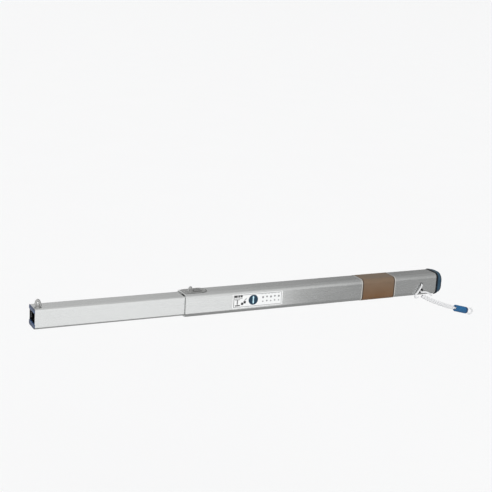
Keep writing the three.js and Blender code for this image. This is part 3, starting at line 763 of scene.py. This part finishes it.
def build_grommet(node, hole, bore):
    """Rubber ring with a rolled lip outside the tube wall."""
    low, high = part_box(node)
    middle = (low + high) / 2
    lip = (high.x - low.x) / 2
    deep = high.y - low.y
    profile = [(bore, deep - 0.3 * MM)]
    profile += [(bore + 0.3 * MM, deep), (hole - 0.4 * MM, deep),
                (hole - 0.1 * MM, deep - 0.3 * MM), (hole - 0.1 * MM, 1.05 * MM),
                (lip - 0.4 * MM, 1.05 * MM)]
    profile += arc(lip - 0.45 * MM, 0.5 * MM, 0.45 * MM, 60, -90)
    profile += arc(bore + 0.6 * MM, 0.6 * MM, 0.6 * MM, 270, 180)
    place = along_axis((middle.x, low.y, middle.z), (0, 1, 0))
    add_piece(node, turned(profile, place, loop=True), "rubber")


# ---- Label and band ----


def film_prism(bm, outline, face, thick, material):
    """A thin closed prism on the near side; outline is (x, z) points about the label's centre."""
    cx, cz = (LABEL_LOW.x + LABEL_HIGH.x) / 2, (LABEL_LOW.z + LABEL_HIGH.z) / 2
    before = len(bm.faces)
    rings = [[Vector((cx + x * MM, y, cz + z * MM)) for x, z in outline]
             for y in (face, face - thick)]
    loft(bm, rings)
    bm.faces.ensure_lookup_table()
    for i in range(before, len(bm.faces)):
        bm.faces[i].material_index = material


def bar(x0, x1, z0, z1):
    return [(x0, z0), (x1, z0), (x1, z1), (x0, z1)]


def disc(cx, cz, radius, steps=64):
    angles = [2 * math.pi * i / steps for i in range(steps)]
    return [(cx + radius * math.cos(angle), cz + radius * math.sin(angle)) for angle in angles]


def build_label():
    """White film: a frame line, a blue disc with a two-way arrow, and plain marks."""
    black, grey, blue, white = 1, 2, 3, 4
    wide, high = (LABEL_HIGH.x - LABEL_LOW.x) / MM, (LABEL_HIGH.z - LABEL_LOW.z) / MM
    face, ink = LABEL_LOW.y + 0.03 * MM, 0.02 * MM
    # From here on in millimetres about the label's centre.
    corner = 1.5
    outline = []
    for sx, sz, start in ((1, -1, -90), (1, 1, 0), (-1, 1, 90), (-1, -1, 180)):
        for angle in quarter_turn(start):
            outline.append((sx * (wide / 2 - corner) + corner * math.cos(angle),
                            sz * (high / 2 - corner) + corner * math.sin(angle)))
    bm = bmesh.new()
    film_prism(bm, outline, LABEL_HIGH.y, LABEL_HIGH.y - face, 0)
    edge_x, edge_z, line = wide / 2 - 2.6, high / 2 - 1.8, 1.0
    marks = [
        (grey, bar(-edge_x, edge_x, edge_z - line, edge_z)),
        (grey, bar(-edge_x, edge_x, -edge_z, -edge_z + line)),
        (black, bar(-edge_x, -edge_x + 1.2, -edge_z + line, edge_z - line)),
        (grey, bar(edge_x - line, edge_x, -edge_z + line, edge_z - line)),
    ]
    for x0, x1, z0, z1, tone in (
        (-56.2, -48.6, 8.2, 12.6, black), (-47.4, -43, 8.2, 12.6, black),
        (-41.8, -37, 8.2, 12.6, black), (-56, -37, 5, 6.2, grey), (-50.2, -47.4, -7.4, 2.6, grey),
        (-55, -42.6, 2.6, 3.8, grey), (-54.5, -42, -11, -8.6, black),
    ):
        marks.append((tone, bar(x0, x1, z0, z1)))
    for x, z in ((-40, -9), (-34, -6)):
        marks.append((black, bar(x, x + 5.4, z, z + 5.4)))
    marks.append((grey, [(-33, 1.2), (-27.5, 5.6), (-26.4, 4.4), (-31.9, 0)]))
    for i in range(5):
        for k, size in enumerate((2.0, 1.5)):
            x, z = 12.5 + 9.6 * i, 4.4 - 9.2 * k + 0.8 * (i % 2)
            square = bar(x - size, x + size, z - size, z + size)
            marks.append((grey, disc(x, z, size, 24) if (i + k) % 2 else square))
    for i in range(6):
        marks.append((grey, bar(8 + 8 * i, 12.5 + 8 * i, 11.4, 12)))
    for tone, shape in marks:
        film_prism(bm, shape, face, ink, tone)
    disc_x, disc_z, disc_radius = -10.8, 0.6, 11.3
    film_prism(bm, disc(disc_x, disc_z, disc_radius), face, ink, blue)
    arrow = [(-1.3, -4.6), (-2.4, -4.6), (0, -9), (2.4, -4.6), (1.3, -4.6),
             (1.3, 4.6), (2.4, 4.6), (0, 9), (-2.4, 4.6), (-1.3, 4.6)]
    film_prism(bm, [(disc_x + x, disc_z + z) for x, z in arrow], face - ink, ink, white)
    inks = [INK[name] for name in ("black", "grey", "blue", "white")]
    add_piece("label", to_mesh(bm, "label"), "printed_film", inks)


def build_band():
    """Brown film wrapped round the tube, a little proud of it."""
    bm = bmesh.new()
    half = BAND_HIGH.z
    corner = OUTER_CORNER + half - OUTER_HALF
    thick = half - OUTER_HALF - 0.05 * MM
    rings = rim(BAND_LOW.x, 1, half, corner, 0.12 * MM)
    rings += rim(BAND_HIGH.x, -1, half, corner, 0.12 * MM)[::-1]
    rings.append(rounded_square(BAND_HIGH.x, half - thick, corner - thick))
    rings.append(rounded_square(BAND_LOW.x, half - thick, corner - thick))
    loft(bm, rings, loop=True)
    even_normals(add_piece("colour_band", to_mesh(bm, "band"), "brown_tape"))


# ---- Tether ----


def smooth_route(points, step):
    """A Catmull-Rom curve through points in millimetres; the step is in metres."""
    p = [Vector(q) * MM for q in points]
    p = [2 * p[0] - p[1], *p, 2 * p[-1] - p[-2]]
    line = []
    for a, b, c, d in zip(p, p[1:], p[2:], p[3:]):
        count = max(2, round((c - b).length / step))
        for i in range(count):
            t = i / count
            line.append(0.5 * (2 * b + (c - a) * t + (2 * a - 5 * b + 4 * c - d) * t * t
                               + (3 * b - a - 3 * c + d) * t ** 3))
    line.append(p[-2])
    return line


def length_of(line):
    return sum((b - a).length for a, b in zip(line, line[1:]))


def frames_along(line, up):
    """A (tangent, side, lift) set at each point of a line that doesn't twist."""
    frames = []
    for i in range(len(line)):
        ahead = line[min(i + 1, len(line) - 1)] - line[max(i - 1, 0)]
        tangent = ahead.normalized()
        side = tangent.cross(up).normalized()
        lift = side.cross(tangent).normalized()
        up = lift
        frames.append((tangent, side, lift))
    return frames


def sweep(bm, line, radius_at, up=(0, -1, 0.3), around=20):
    """A closed tube along a line; radius_at(distance, angle) gives its surface."""
    uv = bm.loops.layers.uv.get("along") or bm.loops.layers.uv.new("along")
    gone, rings, places = 0.0, [], []
    frames = frames_along(line, Vector(up))
    for i, (point, (_, side, lift)) in enumerate(zip(line, frames)):
        gone += (point - line[i - 1]).length if i else 0
        ring = []
        for j in range(around):
            angle = 2 * math.pi * j / around
            out = side * math.cos(angle) + lift * math.sin(angle)
            ring.append(bm.verts.new(point + out * radius_at(gone, angle)))
        rings.append(ring)
        places.append(gone)
    girth = 2 * math.pi * radius_at(0, 0)
    for i in range(len(rings) - 1):
        for j in range(around):
            k = (j + 1) % around
            face = bm.faces.new((rings[i][j], rings[i][k], rings[i + 1][k], rings[i + 1][j]))
            spots = ((i, j), (i, j + 1), (i + 1, j + 1), (i + 1, j))
            for loop, (m, n) in zip(face.loops, spots):
                loop[uv].uv = (places[m], girth * n / around)
    bm.faces.new(reversed(rings[0]))
    bm.faces.new(rings[-1])


def laid(radius, pitch=9 * MM):
    """The surface of a three-strand cord: three lobes that turn once in each pitch."""

    def surface(gone, angle):
        lobe = math.cos(3 * (angle - 2 * math.pi * gone / pitch))
        return radius * (1 - LAY_DEPTH + LAY_DEPTH * lobe)

    return surface


def cord_mesh(line, radius):
    bm = bmesh.new()
    sweep(bm, line, laid(radius))
    return to_mesh(bm, "cord", 60)


def plait_mesh(line):
    """Three round strands that cross over and under, drawn in at both ends of the plait."""
    strand = 2.1 * MM
    reach, lift_by, pitch = PLAIT / 2 - strand, 2.1 * MM, 23 * MM
    frames, whole = frames_along(line, Vector((0, -1, 0.35))), length_of(line)
    bm = bmesh.new()
    for k in range(3):
        gone, route = 0.0, []
        for i, (point, (_, side, lift)) in enumerate(zip(line, frames)):
            gone += (point - line[i - 1]).length if i else 0
            turn = 2 * math.pi * (gone / pitch + k / 3)
            near_start, near_end = 0.45 + gone / (12 * MM), (whole - gone) / (10 * MM) - 0.6
            opened = max(0.2, min(1, near_start, near_end))
            route.append(point + side * reach * opened * math.sin(turn)
                         + lift * lift_by * opened * math.sin(2 * turn))
        sweep(bm, route, laid(strand, 7 * MM), around=16)
    return to_mesh(bm, "plait", 60)


def past_plait(distance):
    return Vector(PLAIT_ROUTE[-1]) + FERRULE_AXIS * distance


def build_ferrule():
    """Moulded sleeve: a mouth round the plait, two shallow grip rings, a rounded far lip."""
    radius, length = FERRULE_RADIUS, FERRULE_LENGTH
    mouth = PLAIT / 2 - 1.7 * MM
    profile = [(0, 6 * MM), (mouth, 6 * MM), (mouth, 0.8 * MM), (mouth + 0.4 * MM, 0.1 * MM)]
    profile += arc(radius - 1.2 * MM, 1.2 * MM, 1.2 * MM, 280, 360)
    for ring in GRIP_RINGS:
        at = length * ring
        profile += [(radius, at - 1.1 * MM), (radius - 0.35 * MM, at - 0.6 * MM),
                    (radius - 0.35 * MM, at + 0.6 * MM), (radius, at + 1.1 * MM)]
    profile += arc(radius - 1.4 * MM, length - 1.4 * MM, 1.4 * MM, 0, 90)
    profile += [(4.4 * MM, length), (3.9 * MM, length - 0.5 * MM), (3.4 * MM, length - 2 * MM),
                (0, length - 2 * MM)]
    place = along_axis(past_plait(FERRULE_GAP / MM) * MM, FERRULE_AXIS)
    mesh = turned(profile, place, 64, sharp_degrees=28)
    return add_piece("tether_ferrule", mesh, "bright_blue_plastic")


def build_end_loop():
    """Soft eye beyond the ferrule: two legs that meet in a round bend."""
    start = (FERRULE_LENGTH + 4 * FERRULE_GAP) / MM
    side = Vector((0, 0, 1)).cross(FERRULE_AXIS).normalized()
    lift = FERRULE_AXIS.cross(side)
    legs = [(start, 3.2), (start + 5, 4.2), (start + 10, 6.2), (start + 16, 6.6), (start + 21, 4)]
    route = [past_plait(along) + lift * out for along, out in legs]
    route.append(past_plait(start + 23))
    route += [past_plait(along) - lift * out for along, out in reversed(legs)]
    line = smooth_route(route, 0.8 * MM)
    return add_piece("tether_end_loop", cord_mesh(line, STRAND / 2), "white_rope")


def build_stopper_knot():
    """Barrel knot inside the tube: four close turns of the cord."""
    low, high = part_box("tether_stopper_knot")
    middle, turns = (low + high) / 2, 4
    reach = (high.x - low.x - STRAND) / 2
    rise = high.z - low.z - STRAND
    steps = 40 * turns
    line = []
    for i in range(steps + 1):
        angle = 2 * math.pi * turns * i / steps
        line.append(Vector((middle.x + reach * math.cos(angle), middle.y + reach * math.sin(angle),
                            middle.z - rise / 2 + rise * i / steps)))
    return add_piece("tether_stopper_knot", cord_mesh(line, STRAND / 2), "white_rope")


def build_tether():
    knot, ferrule, end_loop = build_stopper_knot(), build_ferrule(), build_end_loop()
    for node, route, pieces in (("tether_strand", STRAND_ROUTE, [knot]),
                                ("tether_arc", ARC_ROUTE, [])):
        line = smooth_route(route, FINE)
        piece = add_piece(node, cord_mesh(line, STRAND / 2), "white_rope")
    line = smooth_route([*PLAIT_ROUTE, tuple(past_plait(PLAIT_TUCK))], FINE)
    plait = add_piece("tether_plait", plait_mesh(line), "white_rope")


# ---- The whole boom ----


def build_boom():
    build_outer_tube()
    build_inner_tube()
    build_butt_cap()
    build_inserts()
    build_lock_plate()
    build_eye("mouth_eye", OUTER_HALF, MOUTH_WIRE)
    build_eye("tip_eye", INNER_HALF, TIP_WIRE)
    for node in ("plate_rivet_1", "plate_rivet_2"):
        domed(node, (0, 0, 1), PLATE_HIGH.z, *RIVET)
    domed("bush_rivet_far", (0, 1, 0), OUTER_HALF, *RIVET)
    domed("bush_rivet_bottom", (0, 0, -1), OUTER_HALF, *RIVET)
    domed("cap_screw_far", (0, 1, 0), OUTER_HALF, *SCREW, recess=True)
    domed("cap_screw_bottom", (0, 0, -1), OUTER_HALF, *SCREW, recess=True)
    for node, side in (("tip_rivet_near", -1), ("tip_rivet_far", 1),
                       ("glide_rivet_near", -1), ("glide_rivet_far", 1)):
        flush(node, side)
    build_grommet("cord_grommet_upper", UPPER_HOLE, 2.2 * MM)
    build_grommet("cord_grommet_lower", LOWER_HOLE, 3.8 * MM)
    refined("tip_cap", "blue_plastic", 0.2 * MM, "tip_moulding")
    refined("mouth_bush", "grey_plastic", 0.2 * MM)
    refined("rear_glide", "grey_plastic", 0.5 * MM)
    refined("lock_slider", "dark_plastic", 0.3 * MM)
    refined("brake_pad", "rubber", 0.15 * MM)
    refined("tip_eye_nut", "steel", 0.25 * MM)
    build_label()
    build_band()
    build_tether()


# ---- Stage, light and camera ----

FLOOR_Z, FLOOR_HALF = -1.2, 200
PALE = 0.955                            # the backdrop that the camera sees
TURN_FROM, TURN_TO = -0.66, -0.3        # where the studio changes from front to back, along Y
SUN_POWER, SUN_SPREAD = 1.72, 50        # the spread is in degrees
SUN_TOWARDS = (0.12, 0.68, -0.72)
CAMERA_PLACE = (-1.5277, -2.0032, 0.6899)
CAMERA_YAW, CAMERA_PITCH, CAMERA_ROLL = 26.96, 14.32, 3.385     # degrees
CAMERA_LENS, CAMERA_SENSOR = 79.31, 36                          # millimetres


def add_floor():
    bm = bmesh.new()
    bmesh.ops.create_grid(bm, x_segments=1, y_segments=1, size=FLOOR_HALF)
    floor = bpy.data.objects.new("floor", to_mesh(bm, "floor"))
    floor.location.z = FLOOR_Z
    look = Look("pale_floor", {"Roughness": 0.9, "Specular IOR Level": 0.1})
    drift = look.noise((1.5, 1.5, 1.5))
    look.set("Base Color", look.mix(drift, (0.925, 0.927, 0.93), (0.935, 0.937, 0.94)))
    floor.data.materials.append(look.material)
    bpy.context.scene.collection.objects.link(floor)


def add_flag(name, low, high, level):
    """A flat grey card from low to high that shows only in reflections."""
    (x0, y0, z0), (x1, y1, z1) = low, high
    mesh = bpy.data.meshes.new(name)
    mesh.from_pydata([(x0, y0, z0), (x1, y0, z0), (x1, y1, z1), (x0, y1, z1)], [], [(0, 1, 2, 3)])
    flag = bpy.data.objects.new(name, mesh)
    look = Look(name, {"Base Color": (0, 0, 0, 1), "Specular IOR Level": 0.0, "Roughness": 1.0,
                       "Emission Color": (1, 1, 1, 1), "Emission Strength": level})
    mesh.materials.append(look.material)
    bpy.context.scene.collection.objects.link(flag)
    flag.visible_camera = flag.visible_diffuse = flag.visible_shadow = False
    flag.visible_transmission = False


def add_world():
    """A studio that is bright in front and grey behind; the camera sees a plain pale backdrop."""
    world = bpy.data.worlds.new("studio")
    bpy.context.scene.world = world
    world.use_nodes = True
    tree = world.node_tree
    tree.nodes.clear()
    split = tree.nodes.new("ShaderNodeSeparateXYZ")
    direction = tree.nodes.new("ShaderNodeTexCoord").outputs["Generated"]
    tree.links.new(direction, split.inputs["Vector"])

    def ramp(axis, stops):
        node = tree.nodes.new("ShaderNodeValToRGB")
        tree.links.new(split.outputs[axis], node.inputs["Fac"])
        for i, (at, level) in enumerate(stops):
            stop = node.color_ramp.elements[i] if i < 2 else node.color_ramp.elements.new(at)
            stop.position, stop.color = at, (level, level, level, 1)
        return node.outputs["Color"]

    def mix(factor, a, b, blend="MIX"):
        node = tree.nodes.new("ShaderNodeMix")
        node.data_type, node.blend_type = "RGBA", blend
        for key, value in (("Factor", factor), (6, a), (7, b)):
            if isinstance(value, bpy.types.NodeSocket):
                tree.links.new(value, node.inputs[key])
            else:
                node.inputs[key].default_value = value
        return node.outputs[2]

    rise = ramp("Z", ((0.0, 0.55), (0.2, 0.5), (0.32, 0.61), (0.6, 0.65), (1.0, 0.65)))
    across = ramp("X", ((0.0, 1.0), (0.34, 1.0), (0.44, 0.655), (0.5, 0.52), (0.53, 0.42),
                        (0.6, 0.52)))
    behind = mix(1.0, rise, across, "MULTIPLY")
    ahead = ramp("X", ((0.0, 1.0), (0.42, 1.0), (0.5, 0.36), (1.0, 0.36)))
    turn = tree.nodes.new("ShaderNodeMapRange")
    tree.links.new(split.outputs["Y"], turn.inputs["Value"])
    turn.inputs["From Min"].default_value = TURN_FROM
    turn.inputs["From Max"].default_value = TURN_TO
    studio = mix(turn.outputs["Result"], ahead, behind)
    seen = tree.nodes.new("ShaderNodeLightPath").outputs["Is Camera Ray"]
    background = tree.nodes.new("ShaderNodeBackground")
    tree.links.new(mix(seen, studio, (PALE, PALE, PALE, 1)), background.inputs["Color"])
    out = tree.nodes.new("ShaderNodeOutputWorld")
    tree.links.new(background.outputs["Background"], out.inputs["Surface"])


def add_sun():
    light = bpy.data.lights.new("soft_key", "SUN")
    light.energy, light.angle = SUN_POWER, math.radians(SUN_SPREAD)
    key = bpy.data.objects.new("soft_key", light)
    key.visible_glossy = False
    key.rotation_euler = Vector(SUN_TOWARDS).to_track_quat("-Z", "Y").to_euler()
    bpy.context.scene.collection.objects.link(key)


def add_camera():
    data = bpy.data.cameras.new("camera")
    data.lens, data.sensor_width = CAMERA_LENS, CAMERA_SENSOR
    data.clip_start, data.clip_end = 0.05, 400
    camera = bpy.data.objects.new("camera", data)
    yaw, pitch, roll = (math.radians(a) for a in (CAMERA_YAW, CAMERA_PITCH, CAMERA_ROLL))
    turn = (Matrix.Rotation(-yaw, 4, "Z") @ Matrix.Rotation(math.pi / 2 - pitch, 4, "X")
            @ Matrix.Rotation(roll, 4, "Z"))
    camera.matrix_world = Matrix.Translation(CAMERA_PLACE) @ turn
    bpy.context.scene.collection.objects.link(camera)
    bpy.context.scene.camera = camera


def add_stage():
    add_floor()
    add_flag("flag_below", (-1.7, -0.5, -0.3), (1.0, 0.3, -0.3), 0.3)
    add_flag("flag_back", (-0.8, 0.6, -0.25), (0.8, 0.6, 0.16), 0.15)
    add_flag("flag_front", (-0.105, -0.6, -1.1), (1.6, -0.6, 0.0), 0.34)
    add_world()
    add_sun()
    bpy.context.scene.view_settings.view_transform = "Standard"


add_camera()
build_boom()
add_stage()
